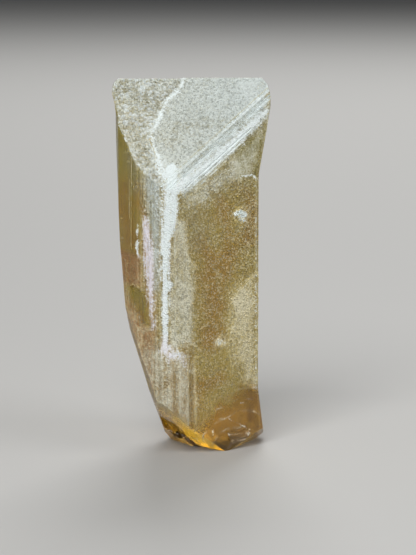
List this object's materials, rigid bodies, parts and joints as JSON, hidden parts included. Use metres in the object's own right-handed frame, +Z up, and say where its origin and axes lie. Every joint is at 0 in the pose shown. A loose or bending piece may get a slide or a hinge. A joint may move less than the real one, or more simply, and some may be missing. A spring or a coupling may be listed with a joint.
{
  "type": "danburite crystal",
  "caption": "Stout danburite crystal, a striated prism with a chisel-shaped tip, frosted faces and a clear honey-coloured broken foot that it stands on.",
  "frame": {"origin": "on the surface the crystal stands on, under the middle of its bounding box", "axes": "+Z up along the c axis, the longest extent; -Y towards the side that shows the large frosted prism face and the sloping dome face; +X to the right as seen from there"},
  "size_m": [0.0266, 0.024, 0.0628],
  "materials": {
    "danburite": "frosted by etching, clear amber where it is broken"
  },
  "bodies": {
    "root": {"danburite_crystal": "danburite"}
  },
  "joints": []
}
